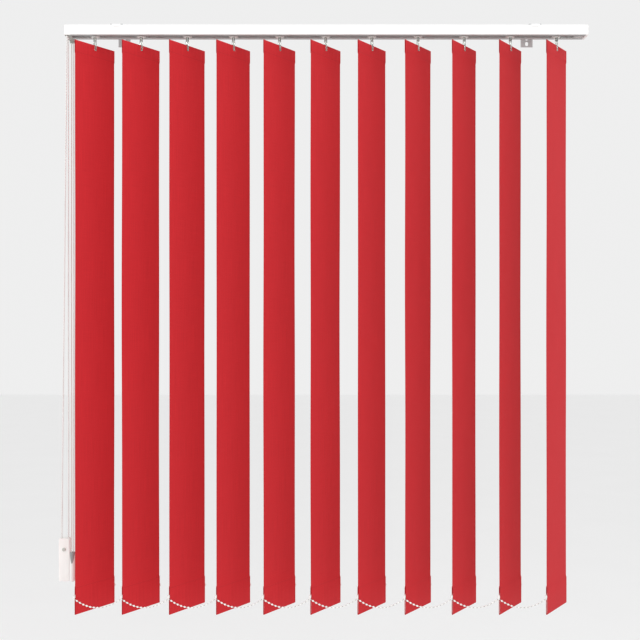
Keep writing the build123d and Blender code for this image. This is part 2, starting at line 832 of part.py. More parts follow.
with BuildPart() as tensioner_cover:
    with BuildSketch(Plane.XZ.offset(-tensioner_seam)):
        with Locations((tensioner_x, (tensioner_top + tensioner_bottom) / 2)):
            RectangleRounded(tensioner_width, tensioner_height, rail_corner)
    extrude(amount=tensioner_cover_depth)
    fillet(tensioner_cover.faces().sort_by(Axis.Y)[0].edges(), rail_corner / 2)
    with BuildSketch(Plane.XZ.offset(-tensioner_seam)):
        with Locations((tensioner_x, (tensioner_top + tensioner_bottom) / 2)):
            Rectangle(tensioner_width - 2 * tensioner_wall, tensioner_height - 2 * tensioner_wall)
        with Locations((tensioner_x, tensioner_screw_z)):
            Circle(tensioner_screw_head_radius + running_gap, mode=Mode.SUBTRACT)
    extrude(amount=tensioner_cover_depth - tensioner_wall, mode=Mode.SUBTRACT)
    with BuildSketch(Plane.XZ.offset(-tensioner_seam)):
        with Locations((tensioner_x, tensioner_screw_z)):
            Circle(tensioner_screw_radius + shaft_gap)
    extrude(amount=tensioner_cover_depth, mode=Mode.SUBTRACT)
save(tensioner_cover.part, "tensioner_cover")

# %% Wall brackets, the clips under their arms, and the fasteners

bracket_places = [(-bracket_spacing / 2, 0, 0), (bracket_spacing / 2, 0, 0)]

with BuildPart(mode=Mode.PRIVATE) as bracket:
    with BuildSketch(Plane.YZ.offset(-bracket_width / 2)):
        with BuildLine():
            FilletPolyline(
                (0, bracket_foot),
                (0, arm_top),
                (-bracket_arm_reach, arm_top),
                radius=bracket_bend,
            )
            Line((-bracket_arm_reach, arm_top), (-bracket_arm_reach, clip_top))
            FilletPolyline(
                (-bracket_arm_reach, clip_top),
                (-bracket_plate, clip_top),
                (-bracket_plate, bracket_foot),
                radius=bracket_bend - bracket_plate,
            )
            Line((-bracket_plate, bracket_foot), (0, bracket_foot))
        make_face()
    extrude(amount=bracket_width)
    with BuildSketch(Plane.XZ):
        Circle(bracket_hole_radius)
        with Locations((0, -bracket_slot_drop)):
            SlotOverall(bracket_slot_length, bracket_slot_width, rotation=90)
    extrude(amount=bracket_plate, mode=Mode.SUBTRACT)
    with BuildSketch(Plane.XY.offset(clip_top)):
        with Locations((0, rail_y)):
            Circle(rivet_radius + press_gap)
    extrude(amount=bracket_plate, mode=Mode.SUBTRACT)

with BuildPart() as wall_brackets:
    with Locations(*bracket_places):
        add(bracket.part)
save(wall_brackets.part, "wall_brackets")

with BuildPart(mode=Mode.PRIVATE) as clip:
    with BuildSketch(Plane.YZ.offset(-clip_width / 2)):
        with Locations((rail_y, rail_top + clip_plate / 2)):
            Rectangle(rail_width + 2 * clip_plate, clip_plate)
        with Locations((rail_front - clip_plate / 2, clip_top - clip_tongue / 2)):
            Rectangle(clip_plate, clip_tongue)
        with Locations((rail_back + clip_plate / 2, clip_top - clip_tail / 2)):
            Rectangle(clip_plate, clip_tail)
    extrude(amount=clip_width)
    fillet(clip.edges().filter_by(Axis.Y).group_by(Axis.Z)[:2], clip_tongue * tongue_bend_share)
    with BuildSketch(Plane.XY.offset(rail_top)):
        with Locations((0, rail_y)):
            Circle(rivet_radius + press_gap)
    extrude(amount=clip_plate, mode=Mode.SUBTRACT)

with BuildPart() as bracket_clips:
    with Locations(*bracket_places):
        add(clip.part)
save(bracket_clips.part, "bracket_clips")

with BuildPart() as fasteners:
    # The tensioner's screw, as far as the wall
    with BuildSketch(Plane.XZ):
        with Locations((tensioner_x, tensioner_screw_z)):
            Circle(tensioner_screw_radius)
    extrude(amount=tensioner_depth)
    with BuildSketch(Plane.XZ.offset(tensioner_depth)):
        with Locations((tensioner_x, tensioner_screw_z)):
            Circle(tensioner_screw_head_radius)
    extrude(amount=tensioner_screw_head)
    fillet(
        fasteners.edges().filter_by(GeomType.CIRCLE).sort_by(Axis.Y)[0],
        tensioner_screw_head / 2,
    )
    # The rivets that hold each clip under its arm
    rivet_places = [(place_x, rail_y) for place_x, _, _ in bracket_places]
    with BuildSketch(Plane.XY.offset(rail_top)):
        with Locations(*rivet_places):
            Circle(rivet_radius)
    extrude(amount=arm_top - rail_top)
    with BuildSketch(Plane.XY.offset(arm_top)):
        with Locations(*rivet_places):
            Circle(rivet_head_radius)
    extrude(amount=rivet_head)
    fillet(fasteners.edges().filter_by(GeomType.CIRCLE).group_by(Axis.Z)[-1], rivet_head * rivet_dome_share)
save(fasteners.part, "fasteners")

# %% What the cords' tubes measure

for name, route in (("front chain run", chain_front_route), ("rear chain run", chain_rear_route)):
    print(name, "arc radii:", [round(radius, 1) for radius in bend_radii(route)])
print("draw cord arc radius:", cord_bend)
for name, path, section, tube in (
    ("draw cord", cord_path, cord_radius, draw_cord_run),
    ("bead chain", chain_path, chain_radius, tilt_chain),
):
    length = sum(edge.length for edge in path.line.edges())
    print(name, "length", round(length, 1), "volume", round(tube.part.volume, 1))
    print("  section times length", round(math.pi * section**2 * length, 1))
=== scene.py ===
# %% [markdown]
# # A vertical blind
# Eleven red cloth louvres hang from a slim white head rail. The imported model already
# holds the rail, the carriers, the gears and the brackets at their real size, so this
# script only dresses it: cloth, bead chains, cords and a finish for every surface.
# It starts by loading that model; part_box gives the box that any of its parts fills.

# %% Load the frame
import bmesh
import bpy
import math
import random
from mathutils import Matrix, Vector


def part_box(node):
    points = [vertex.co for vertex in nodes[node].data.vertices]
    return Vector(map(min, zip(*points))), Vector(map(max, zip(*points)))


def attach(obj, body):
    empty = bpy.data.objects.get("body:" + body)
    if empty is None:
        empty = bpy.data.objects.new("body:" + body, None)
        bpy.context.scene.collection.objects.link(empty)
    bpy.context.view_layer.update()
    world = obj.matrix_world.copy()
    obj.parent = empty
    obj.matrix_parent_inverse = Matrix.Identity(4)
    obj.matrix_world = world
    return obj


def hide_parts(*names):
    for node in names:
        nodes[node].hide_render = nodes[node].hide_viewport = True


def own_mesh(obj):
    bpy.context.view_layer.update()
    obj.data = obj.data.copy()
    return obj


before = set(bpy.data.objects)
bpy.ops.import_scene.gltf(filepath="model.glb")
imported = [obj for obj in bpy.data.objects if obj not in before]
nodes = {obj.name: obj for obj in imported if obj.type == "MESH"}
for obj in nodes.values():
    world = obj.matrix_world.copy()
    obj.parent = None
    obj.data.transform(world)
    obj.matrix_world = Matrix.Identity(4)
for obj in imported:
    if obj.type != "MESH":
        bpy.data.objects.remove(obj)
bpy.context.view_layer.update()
MM = 0.001
louvre_names = sorted(name for name in nodes if name.startswith("louvre_"))

# %% [markdown]
# ## Camera
# A level camera a little under two metres in front, at half the blind's height, so the
# rail shows its underside and the louvres show their front edges.

# %% Camera
LENS_MM = 56.25
SENSOR_MM = 36.0
EYE = Vector((-9.85, -1772.0, -497.0)) * MM

camera_data = bpy.data.cameras.new("camera")
camera_data.lens = LENS_MM
camera_data.sensor_width = SENSOR_MM
camera_data.clip_start = 0.05
camera_data.clip_end = 50.0
camera = bpy.data.objects.new("camera", camera_data)
camera.location = EYE
camera.rotation_euler = (math.radians(90.0), 0.0, 0.0)
bpy.context.scene.collection.objects.link(camera)
bpy.context.scene.camera = camera
print("camera at", tuple(round(value, 3) for value in EYE))

# %% [markdown]
# ## Helpers for meshes
# Every piece is made with bmesh operators, given its place in its own mesh and linked
# with its object at the origin. `piece` does that last step for all of them.

# %% Mesh helpers
SHARP = math.radians(35.0)


def piece(name, bm, material, body, smooth=True, stands_for=()):
    """Turns a bmesh into an object at the origin, which rides on a body."""
    mesh = bpy.data.meshes.new(name)
    bm.to_mesh(mesh)
    bm.free()
    for polygon in mesh.polygons:
        polygon.use_smooth = smooth
    mesh.set_sharp_from_angle(angle=SHARP)
    made = bpy.data.objects.new(name, mesh)
    bpy.context.scene.collection.objects.link(made)
    mesh.materials.append(material)
    if stands_for:
        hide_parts(*stands_for)
    if body:
        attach(made, body)
    return made


def modifier(made, kind, **settings):
    """Adds a modifier whose settings are given by name."""
    added = made.modifiers.new(kind.lower(), kind)
    for key, value in settings.items():
        setattr(added, key, value)
    return added


def settle(made):
    """Makes a piece's modifiers part of its mesh, and keeps its sharp edges crisp."""
    bpy.context.view_layer.update()
    seen = made.evaluated_get(bpy.context.evaluated_depsgraph_get())
    made.data = bpy.data.meshes.new_from_object(seen)
    made.modifiers.clear()
    made.data.set_sharp_from_angle(angle=SHARP)


def recalculate(bm):
    """Makes every face of a closed shape point outwards."""
    bmesh.ops.remove_doubles(bm, verts=bm.verts, dist=1e-6)
    bmesh.ops.recalc_face_normals(bm, faces=bm.faces)


def merged_copy(node):
    """A CAD node's mesh as a bmesh of its own, with its loose triangles merged."""
    bm = bmesh.new()
    bm.from_mesh(nodes[node].data)
    bmesh.ops.remove_doubles(bm, verts=bm.verts, dist=1e-6)
    bmesh.ops.dissolve_limit(bm, angle_limit=math.radians(0.5), verts=bm.verts, edges=bm.edges)
    return bm


def islands(bm):
    """The separate shells of a bmesh, each as a set of vertices."""
    left, found = set(bm.verts), []
    while left:
        group, to_visit = set(), [next(iter(left))]
        while to_visit:
            vertex = to_visit.pop()
            if vertex in group:
                continue
            group.add(vertex)
            to_visit.extend(edge.other_vert(vertex) for edge in vertex.link_edges)
        left -= group
        found.append(group)
    return found


def height_range(group):
    """The lowest and highest Z of some vertices."""
    heights = [vertex.co.z for vertex in group]
    return min(heights), max(heights)


# %% [markdown]
# ## A small language for finishes
# A finish is a Principled shader whose colour, roughness and bump are worked out from
# where a point lies. `Field` wraps a node's output, so that ordinary sums in Python add
# the Math nodes. `Finish` makes any other node with one method.

# %% Shader helpers


class Field:
    """A number that varies over a surface: the output of a node."""

    def __init__(self, finish, socket):
        self.finish = finish
        self.socket = socket

    def calculate(self, operation, *values):
        return self.finish.node("ShaderNodeMath", {"operation": operation}, *values)

    def __add__(self, other):
        return self.calculate("ADD", self, other)

    def __sub__(self, other):
        return self.calculate("SUBTRACT", self, other)

    def __rsub__(self, other):
        return self.calculate("SUBTRACT", other, self)

    def __mul__(self, other):
        return self.calculate("MULTIPLY", self, other)

    def __truediv__(self, other):
        return self.calculate("DIVIDE", self, other)

    def __gt__(self, other):
        return self.calculate("GREATER_THAN", self, other)

    def __lt__(self, other):
        return self.calculate("LESS_THAN", self, other)

    def __abs__(self):
        return self.calculate("ABSOLUTE", self)

    def sine(self):
        return self.calculate("SINE", self)

    __radd__ = __add__
    __rmul__ = __mul__


class Finish:
    """A material with a Principled shader, and the means to add nodes to it."""

    def __init__(self, name, **constants):
        self.material = bpy.data.materials.new(name)
        self.material.use_nodes = True
        self.tree = self.material.node_tree
        self.shader = self.tree.nodes["Principled BSDF"]
        self.set(**constants)

    def set(self, **values):
        """Sets or links the shader's sockets; Base_Color means the socket Base Color."""
        for key, value in values.items():
            self.join(value, self.shader.inputs[key.replace("_", " ")])

    def join(self, value, socket):
        if isinstance(value, Field):
            self.tree.links.new(value.socket, socket)
        else:
            socket.default_value = value

    def node(self, kind, settings=None, *values, output=0, **named):
        """Adds a node: its settings first, then its inputs in order or by name."""
        added = self.tree.nodes.new(kind)
        for key, value in (settings or {}).items():
            if key == "stops":
                self.set_stops(added.color_ramp, value)
            else:
                setattr(added, key, value)
        for place, value in enumerate(values):
            self.join(value, added.inputs[place])
        for key, value in named.items():
            self.join(value, added.inputs[key.replace("_", " ")])
        return Field(self, added.outputs[output])

    def set_stops(self, ramp, stops):
        """Gives a colour ramp its stops: a place and a grey level each."""
        while len(ramp.elements) < len(stops):
            ramp.elements.new(1.0)
        for element, (place, grey) in zip(ramp.elements, stops):
            element.position = place
            element.color = (grey, grey, grey, 1.0)

    def place(self):
        """Where the point lies on the object, in metres."""
        return self.node("ShaderNodeTexCoord", None, output="Object")

    def split(self, vector):
        """The three parts of a vector."""
        added = self.tree.nodes.new("ShaderNodeSeparateXYZ")
        self.join(vector, added.inputs[0])
        return [Field(self, added.outputs[axis]) for axis in "XYZ"]

    def noise(self, scale, detail=2.0, stretch=(1.0, 1.0, 1.0), vector=None):
        """Soft noise, scale lumps to the metre, drawn out along an axis by stretch."""
        mapped = self.node("ShaderNodeMapping", None, Vector=vector or self.place(), Scale=stretch)
        return self.node("ShaderNodeTexNoise", None, Vector=mapped, Scale=scale, Detail=detail)

    def ramp(self, field, *stops):
        """A field passed through a ramp of greys."""
        return self.node("ShaderNodeValToRGB", {"stops": stops}, field)

    def blend(self, factor, first, second):
        """One colour going over into another as factor goes from 0 to 1."""
        added = self.tree.nodes.new("ShaderNodeMix")
        added.data_type = "RGBA"
        self.join(factor, added.inputs["Factor"])
        self.join(first, added.inputs[6])
        self.join(second, added.inputs[7])
        return Field(self, added.outputs[2])

    def bump(self, height, distance, strength=1.0):
        """Raises the surface by height, times distance in metres."""
        relief = self.node(
            "ShaderNodeBump", None, Height=height, Distance=distance, Strength=strength
        )
        self.set(Normal=relief)


def colour(red, green, blue):
    """A colour with full alpha."""
    return (red, green, blue, 1.0)


# %% [markdown]
# ## Finishes for the hard parts
# The rail and the clips are powder coated: a faint orange-peel bump, a satin gloss, and a painted
# shade on the rail's and clips' downward faces.
# The mouldings are acetal and nylon, a little softer, with drag lines from the mould.
# The hooks are milky, half-clear plastic. Metal parts have a drawn or plated grain.

# %% Powder coat and mouldings


def powder_coat(name, base, roughness=0.32, underside_shade=1.0):
    """Sprayed and baked paint with fine orange peel; faces that point down get a painted shade, the
    base colour scaled down by the last argument.
    """
    made = Finish(name, Specular_IOR_Level=0.5)
    peel = made.noise(900.0, 3.0)
    cloud = made.noise(14.0, 2.0)
    darker = colour(*(value * 0.93 for value in base))
    sprayed = made.blend(made.ramp(cloud, (0.35, 0.0), (0.7, 1.0)), darker, colour(*base))
    facing = made.split(made.node("ShaderNodeNewGeometry", None, output="Normal"))[2]
    painted_underside_shade = colour(*(value * underside_shade for value in base))
    # Painted shade: faces that point down take the darker colour.
    made.set(Base_Color=made.blend(facing < -0.6, sprayed, painted_underside_shade))
    made.set(Roughness=cloud * 0.1 + (roughness - 0.05))
    made.bump(peel, 0.00006, 0.5)
    return made.material


def moulding(name, base, roughness=0.42, **constants):
    """Injection-moulded plastic: soft flow marks and a fine spark texture."""
    made = Finish(name, **constants)
    flow = made.noise(60.0, 2.0, (1.0, 1.0, 0.25))
    spark = made.noise(2600.0, 1.0)
    shaded = colour(*(value * 0.9 for value in base))
    made.set(Base_Color=made.blend(made.ramp(flow, (0.3, 0.0), (0.75, 1.0)), shaded, colour(*base)))
    made.set(Roughness=flow * 0.12 + (roughness - 0.06))
    made.bump(spark, 0.00003, 0.4)
    return made.material


# The rail's and clips' downward faces get a painted shade at 0.3 of the white.
rail_white = powder_coat("rail_white", (0.9, 0.9, 0.89), underside_shade=0.3)
bracket_grey = powder_coat("bracket_grey", (0.5, 0.51, 0.51), 0.38)
fitting_white = moulding("fitting_white", (0.86, 0.86, 0.84))
carrier_white = moulding("carrier_white", (0.72, 0.73, 0.7), 0.36)
worm_grey = moulding("worm_grey", (0.06, 0.065, 0.07), 0.3)
bead_white = moulding("bead_white", (0.84, 0.85, 0.83), 0.28, Coat_Weight=0.25)
thread_grey = moulding("thread_grey", (0.42, 0.38, 0.37), 0.6)
hook_clear = moulding("hook_clear", (0.84, 0.89, 0.85), 0.2, Transmission_Weight=0.8, IOR=1.45)
GUIDE_TOP = -12.9 * MM


def housing_plastic():
    """White moulding whose cord guide, below the rail, is a grey-green insert."""
    made = Finish("housing_plastic")
    flow = made.noise(60.0, 2.0, (1.0, 1.0, 0.25))
    spark = made.noise(2600.0, 1.0)
    height = made.split(made.place())[2]
    white = made.blend(flow, colour(0.78, 0.78, 0.76), colour(0.86, 0.86, 0.84))
    green = made.blend(flow, colour(0.3, 0.33, 0.3), colour(0.38, 0.41, 0.38))
    made.set(Base_Color=made.blend(height < GUIDE_TOP, white, green))
    made.set(Roughness=flow * 0.12 + 0.36)
    made.bump(spark, 0.00003, 0.4)
    return made.material


housing_finish = housing_plastic()
print("paint and plastic finishes made")

# %% Metal


def drawn_metal(name, base, roughness, along):
    """Metal with fine lines along the way it was drawn or brushed."""
    made = Finish(name, Metallic=1.0)
    lines = made.noise(1400.0, 3.0, along)
    cloud = made.noise(40.0, 2.0)
    dull = colour(*(value * 0.8 for value in base))
    made.set(Base_Color=made.blend(cloud, dull, colour(*base)))
    made.set(Roughness=lines * 0.25 + (roughness - 0.12))
    made.bump(lines, 0.00004, 0.4)
    return made.material


rod_metal = drawn_metal("rod_metal", (0.78, 0.79, 0.8), 0.34, (0.02, 1.0, 1.0))
zinc_metal = drawn_metal("zinc_metal", (0.62, 0.61, 0.57), 0.36, (1.0, 1.0, 1.0))
print("metal finishes made")

# %% [markdown]
# ## Give the CAD pieces their finishes
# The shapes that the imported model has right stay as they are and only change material.

# %% Dress the CAD nodes
finishes = {
    "head_rail": rail_white,
    "bracket_clips": rail_white,
    "wall_brackets": bracket_grey,
    "control_housing": housing_finish,
    "return_end_cap": fitting_white,
    "return_pulley": fitting_white,
    "tensioner_housing": fitting_white,
    "tensioner_cover": fitting_white,
    "tensioner_wheel": fitting_white,
    "tilt_rod": rod_metal,
    "chain_sprocket": hook_clear,
    "fasteners": zinc_metal,
}
for name, node in nodes.items():
    family = name.rstrip("0123456789").rstrip("_")
    finish = finishes.get(name)
    if family == "carrier":
        finish = carrier_white
    if family == "worm":
        finish = worm_grey
    if family == "chain_clip":
        finish = bead_white
    if finish:
        node.data.materials.clear()
        node.data.materials.append(finish)
print("dressed", len(finishes), "single pieces, the carriers, the worms and the clips")

# %% [markdown]
# ## The cloth's finish
# Louvre cloth is a stiffened polyester weave. Two sines make the threads, one across
# and one along, and stretched noise makes the slubs, the thicker bits of yarn that run
# down the cloth as faint streaks. All of it reads the cloth's own UV map, whose two
# numbers are metres across and along the unfolded strip, so it follows every fold.

# %% Red cloth
CLOTH_WIDTH = 89.0
CLOTH_TOP = -26.9
CLOTH_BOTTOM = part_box("louvre_01")[0].z / MM
TOP_HEM = 20.0
BOTTOM_HEM = 45.0
HEM_TAPER = 3.0
THREAD = 0.55 * MM
WELD_WIDTH = 1.2 * MM
CUT_EDGE = 0.7 * MM
CLOTH_RED = (0.58, 0.02, 0.027)


def red_cloth():
    """Woven polyester with slubs, welded hem lines and heat-cut edges."""
    made = Finish("red_cloth", Sheen_Weight=0.05, Sheen_Roughness=0.5, Specular_IOR_Level=0.15)
    unfolded = made.node("ShaderNodeUVMap", {"uv_map": "cloth"})
    across, along, _ = made.split(unfolded)
    turn = 2.0 * math.pi / THREAD
    weave = (across * turn).sine() * (along * turn).sine()
    down = made.noise(1.0, 3.0, (900.0, 16.0, 1.0), unfolded)
    over = made.noise(1.0, 2.0, (30.0, 800.0, 1.0), unfolded)
    cloud = made.noise(1.0, 2.0, (9.0, 3.0, 1.0), unfolded)
    slub = down * 0.6 + over * 0.25 + cloud * 0.15
    dark = colour(*(value * 0.9 for value in CLOTH_RED))
    light = colour(*(value * 1.06 for value in CLOTH_RED))
    plain = made.blend(made.ramp(slub, (0.32, 0.0), (0.68, 1.0)), dark, light)
    half = CLOTH_WIDTH * MM / 2
    cut = abs(across) > half - CUT_EDGE
    top_weld = abs(along - (CLOTH_TOP - TOP_HEM) * MM) < WELD_WIDTH / 2
    low_weld = abs(along - (CLOTH_BOTTOM + BOTTOM_HEM) * MM) < WELD_WIDTH / 2
    weld = (top_weld + low_weld) * ((across * turn / 3.0).sine() > -0.2)
    shade = colour(*(value * 0.72 for value in CLOTH_RED))
    made.set(Base_Color=made.blend((weld + cut) * 0.6, plain, shade))
    made.set(Roughness=0.95 - slub * 0.25)
    made.bump(weave * 0.35 + slub - weld * 1.5, 0.00012, 0.55)
    return made.material


cloth_finish = red_cloth()
print("cloth from", CLOTH_TOP, "to", round(CLOTH_BOTTOM, 1), "mm")

# %% [markdown]
# ## Cord and chain finishes
# The draw cord is a round braid: two sets of strands cross on a slant. The tilt chain
# and the linking chains share the plain white bead plastic made above.

# %% Braided cord
STRAND = 1.5 * MM


def braid():
    """White polyester braid: two crossing waves raise the strands."""
    made = Finish("cord_braid", Sheen_Weight=0.15)
    x, y, z = made.split(made.place())
    turn = 2.0 * math.pi / STRAND
    first = ((x + y + z) * turn).sine()
    second = ((z - x - y) * turn).sine()
    strand = first * second
    dirt = made.noise(30.0, 2.0)
    white, worn = colour(0.82, 0.82, 0.8), colour(0.66, 0.66, 0.63)
    made.set(Base_Color=made.blend(strand * 0.3 + dirt * 0.7, worn, white))
    made.set(Roughness=dirt * 0.15 + 0.72)
    made.bump(strand, 0.00015, 0.6)
    return made.material


WEIGHT_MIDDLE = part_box("cord_weight")[0].lerp(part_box("cord_weight")[1], 0.5)
# The painted shade of the cord opening ends at this height in the middle and rises to the sides by
# this curve.
OPENING_SHADE_EDGE = -919.0 * MM
OPENING_SHADE_CURVE = 800.0


def weight_plastic():
    """White moulding whose top carries a painted shade for the dark cord opening, dark grey coming
    down to a drop in front.
    """
    made = Finish("weight_plastic", Coat_Weight=0.2)
    flow = made.noise(80.0, 2.0, (1.0, 1.0, 0.25))
    spark = made.noise(2600.0, 1.0)
    x, _, z = made.split(made.place())
    aside = x - WEIGHT_MIDDLE.x
    edge = aside * aside * OPENING_SHADE_CURVE + OPENING_SHADE_EDGE
    white = made.blend(flow, colour(0.76, 0.77, 0.76), colour(0.85, 0.85, 0.84))
    # Painted shade: this dark grey stands for the shade in the cord opening.
    grey = made.blend(flow, colour(0.24, 0.25, 0.25), colour(0.32, 0.33, 0.33))
    made.set(Base_Color=made.blend(z > edge, white, grey))
    made.set(Roughness=flow * 0.12 + 0.3)
    made.bump(spark, 0.00003, 0.4)
    return made.material


weight_finish = weight_plastic()
cord_finish = braid()
nodes["draw_cord_run"].data.materials.clear()
nodes["draw_cord_run"].data.materials.append(cord_finish)
nodes["cord_weight"].data.materials.clear()
nodes["cord_weight"].data.materials.append(weight_finish)
print("cord finish made")

# %% [markdown]
# ## Draw cord
# The draw cord opens and gathers the louvres. Its two falls leave the grey housing and
# hang straight into the cord weight, where they end in a knot. Each is a NURBS curve:
# its control points are the cord's own route, and the curve rounds them by itself.

# %% Splines
CORD_RADIUS = 1.0


def route(name, points, radius=0.0, rounds=2, fineness=24):
    """A smooth open spline through given points in millimetres."""
    curve = bpy.data.curves.new(name, "CURVE")
    curve.dimensions = "3D"
    spline = curve.splines.new("NURBS")
    spline.points.add(len(points) - 1)
    for control, point in zip(spline.points, points):
        control.co = (*(value * MM for value in point), 1.0)
    spline.order_u = 3
    spline.use_endpoint_u = True
    curve.resolution_u = fineness
    curve.bevel_depth = radius * MM
    curve.bevel_resolution = rounds
    curve.use_fill_caps = True
    made = bpy.data.objects.new(name, curve)
    bpy.context.scene.collection.objects.link(made)
    return made


def drawn(name, points, radius=0.0, rounds=2, fineness=24):
    """The mesh that a route makes: its bare line, or a tube round it."""
    made = route(name, points, radius, rounds, fineness)
    bpy.context.view_layer.update()
    mesh = bpy.data.meshes.new_from_object(made)
    bpy.data.objects.remove(made)
    return mesh


# %% Cord falls
FALL_Y = -35.0
FALL_LEFT = -441.25
FALL_RIGHT = -437.75
EXIT_Z = -16.0
BORE_FLOOR = -920.0

fall_routes = {
    "cord_fall_left": [
        (FALL_LEFT, FALL_Y, EXIT_Z),
        (FALL_LEFT, FALL_Y, -60.0),
        (FALL_LEFT - 0.5, FALL_Y, -420.0),
        (FALL_LEFT, FALL_Y, -860.0),
        (FALL_LEFT, FALL_Y, BORE_FLOOR),
    ],
    "cord_fall_right": [
        (FALL_RIGHT, FALL_Y, EXIT_Z),
        (FALL_RIGHT, FALL_Y, -60.0),
        (FALL_RIGHT + 0.4, FALL_Y, -500.0),
        (FALL_RIGHT, FALL_Y, -860.0),
        (FALL_RIGHT, FALL_Y, BORE_FLOOR),
    ],
}
for name, points in fall_routes.items():
    fall = route(name, points, CORD_RADIUS, 3)
    fall.data.materials.append(cord_finish)
    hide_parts("draw_cord_falls")
    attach(fall, "rail")

# %% [markdown]
# ## Beads
# A bead chain is a thin cord with beads moulded on it. One bead is an outline of a few
# points, spun round the cord, with a small collar at each end. It is kept to a few dozen
# faces, because it is set down hundreds of times along the cord's line.

# %% Beads along a line
BEAD_RADIUS = 1.6
COLLAR_RADIUS = 0.8
COLLAR_REACH = 1.9
THREAD_RADIUS = 0.55
END_ROOM = 0.4
BEAD_SIDES = 10


def bead_mesh():
    """One bead in millimetres, with its cord along Z."""
    bm = bmesh.new()
    swell = [math.radians(angle) for angle in (-62, -38, -13, 13, 38, 62)]
    outline = [(0.0, -COLLAR_REACH), (COLLAR_RADIUS, -COLLAR_REACH)]
    outline += [(BEAD_RADIUS * math.cos(a), BEAD_RADIUS * math.sin(a)) for a in swell]
    outline += [(COLLAR_RADIUS, COLLAR_REACH), (0.0, COLLAR_REACH)]
    line = [bm.verts.new((x, 0.0, z)) for x, z in outline]
    edges = [bm.edges.new(pair) for pair in zip(line, line[1:])]
    bmesh.ops.spin(
        bm,
        geom=line + edges,
        cent=(0.0, 0.0, 0.0),
        axis=(0.0, 0.0, 1.0),
        angle=2.0 * math.pi,
        steps=BEAD_SIDES,
        use_merge=True,
    )
    recalculate(bm)
    mesh = bpy.data.meshes.new("bead")
    bm.to_mesh(mesh)
    bm.free()
    return mesh


def line_points(mesh):
    """The points of a bare line's mesh, in order."""
    return [vertex.co.copy() for vertex in mesh.vertices]


def steps_along(line, parts, first):
    """Places on a line that is shared into equal parts, with the line's direction there."""
    lengths = [(b - a).length for a, b in zip(line, line[1:])]
    pitch = sum(lengths) / parts
    last = sum(lengths) - END_ROOM * pitch
    wanted, walked, found = first * pitch, 0.0, []
    for start, end, length in zip(line, line[1:], lengths):
        while wanted <= min(walked + length, last):
            share = (wanted - walked) / length
            found.append((start.lerp(end, share), (end - start).normalized()))
            wanted += pitch
        walked += length
    return found


def bead_chain(name, points, parts, body, first=0.5, fineness=24, stands_for=()):
    """A cord with beads on it, as one mesh, and the line it follows."""
    bm = bmesh.new()
    bm.from_mesh(drawn(name + "_thread", points, THREAD_RADIUS, 1, fineness))
    for face in bm.faces:
        face.material_index = 1
    line = line_points(drawn(name + "_line", points, fineness=fineness))
    bead = bead_mesh()
    for place, direction in steps_along(line, parts, first):
        seen = len(bm.verts)
        bm.from_mesh(bead)
        bm.verts.ensure_lookup_table()
        turned = direction.to_track_quat("Z", "Y").to_matrix().to_4x4()
        stand = Matrix.Translation(place) @ turned @ Matrix.Scale(MM, 4)
        bmesh.ops.transform(bm, matrix=stand, verts=bm.verts[seen:])
    made = piece(name, bm, bead_white, body, stands_for=stands_for)
    made.data.materials.append(thread_grey)
    return made, line


# %% [markdown]
# ## Tilt chain
# The long loop turns the rod: it runs over the sprocket, down to the wall, round the
# tensioner's wheel and back up. Points near the wheel and the sprocket keep the spline
# close to them.

# %% Tilt chain
CHAIN_X = -440.2
FRONT_Y = -72.1
REAR_Y = -62.9
SPROCKET_TOP = -0.9
CHAIN_LENGTH = 1.906
BEAD_PITCH = 4.8 * MM
WHEEL_Y = -8.0
WHEEL_LEFT = -465.35
WHEEL_RIGHT = -453.35
WHEEL_LOW = -946.0

chain_route = [
    (CHAIN_X, -67.98, SPROCKET_TOP),
    (CHAIN_X, FRONT_Y, SPROCKET_TOP),
    (CHAIN_X, FRONT_Y, -14.2),
    (CHAIN_X - 0.39, -71.11, -27.46),
    (-463.3, -13.22, -800.3),
    (WHEEL_LEFT, WHEEL_Y, -870.0),
    (WHEEL_LEFT, WHEEL_Y, WHEEL_LOW),
    (WHEEL_RIGHT, WHEEL_Y, WHEEL_LOW),
    (WHEEL_RIGHT, WHEEL_Y, -870.0),
    (-452.27, -12.48, -800.3),
    (CHAIN_X - 0.2, -62.05, -27.49),
    (CHAIN_X, REAR_Y, -14.2),
    (CHAIN_X, REAR_Y, SPROCKET_TOP),
    (CHAIN_X, -67.02, SPROCKET_TOP),
]
bead_count = round(CHAIN_LENGTH / BEAD_PITCH)
tilt_chain, tilt_line = bead_chain(
    "tilt_bead_chain", chain_route, bead_count, "rail", stands_for=("tilt_chain",)
)
print("tilt chain:", bead_count, "beads,", len(tilt_chain.data.polygons), "faces")

# %% [markdown]
# ## Louvres
# A louvre is one strip of cloth. Its top is folded over a plastic hanger and welded, and
# its bottom is folded round a flat weight. The sheet starts as the strip's edge-on line,
# which is pushed across the width, and a Solidify modifier gives it the cloth's
# thickness. The hook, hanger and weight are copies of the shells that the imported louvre
# holds, so they fit the carrier exactly.

# %% Where each louvre hangs
REST_ANGLE = math.radians(55.6)
rail_low, rail_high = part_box("head_rail")
RAIL_MIDDLE_Y = (rail_low.y + rail_high.y) / 2


def hanging_frame(number):
    """Takes a louvre's own millimetres to the row frame: X across it, Y through it."""
    low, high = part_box(f"worm_{number}")
    pivot = Vector(((low.x + high.x) / 2, RAIL_MIDDLE_Y, 0.0))
    turned = Matrix.Rotation(REST_ANGLE, 4, "Z")
    return Matrix.Translation(pivot) @ turned @ Matrix.Scale(MM, 4)


print("first pivot at x", round(hanging_frame("01").translation.x, 3))

# %% The folded line
CLOTH_THICKNESS = 0.45
TOP_LAYER = 0.8
BOTTOM_LAYER = 0.95
FOLD_STEPS = 6
BODY_ROWS = 40
COLUMNS = 14
FLAP_LIE = 0.46


def half_turn(layer, height, outward):
    """The round fold at a hem's end, from the back layer to the front one."""
    angles = [math.pi * step / FOLD_STEPS for step in range(FOLD_STEPS + 1)]
    middle = height - outward * (layer + CLOTH_THICKNESS / 2)
    return [(layer * math.cos(a), middle + outward * layer * math.sin(a)) for a in angles]


